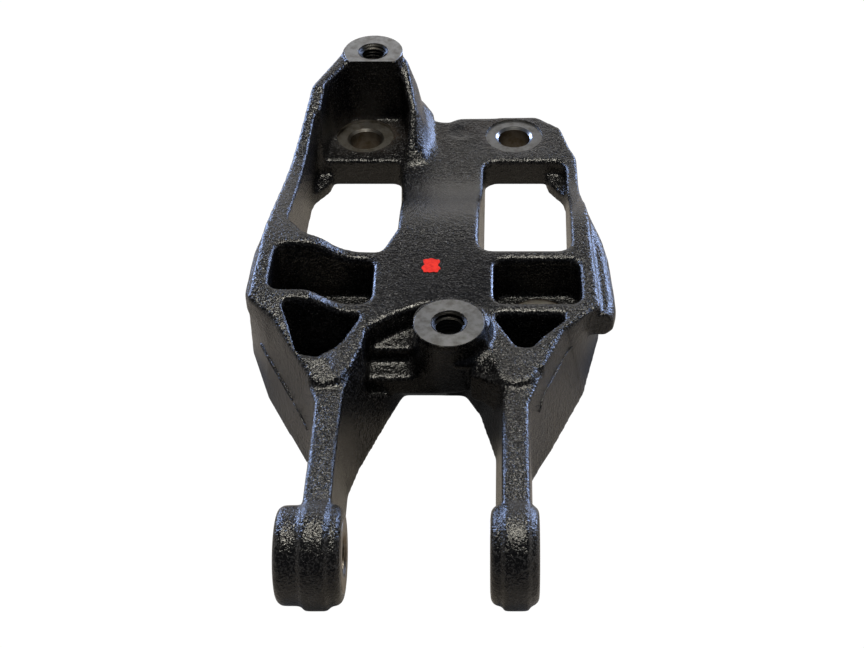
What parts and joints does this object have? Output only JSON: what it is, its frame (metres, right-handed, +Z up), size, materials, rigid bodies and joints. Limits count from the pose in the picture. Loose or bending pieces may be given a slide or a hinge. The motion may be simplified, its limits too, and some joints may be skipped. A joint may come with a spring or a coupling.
{
  "type": "stabilizer link bracket",
  "caption": "Cast bracket with two arms ending in link eyes, a bolt flange at the other end, threaded bosses, through windows and lightening pockets.",
  "frame": {"origin": "midway between the two rear bolt holes, on the flat mounting face", "axes": "+X along the rear bolt line, to the right seen from the link eyes; +Y from the link eyes towards the bolt flange; +Z up out of the mounting face"},
  "size_m": [0.1706, 0.3619, 0.054],
  "materials": {
    "painted_casting": "black painted iron casting with rough grain and bare machined spot faces"
  },
  "bodies": {
    "root": {"bracket_casting": "painted_casting"}
  },
  "joints": []
}
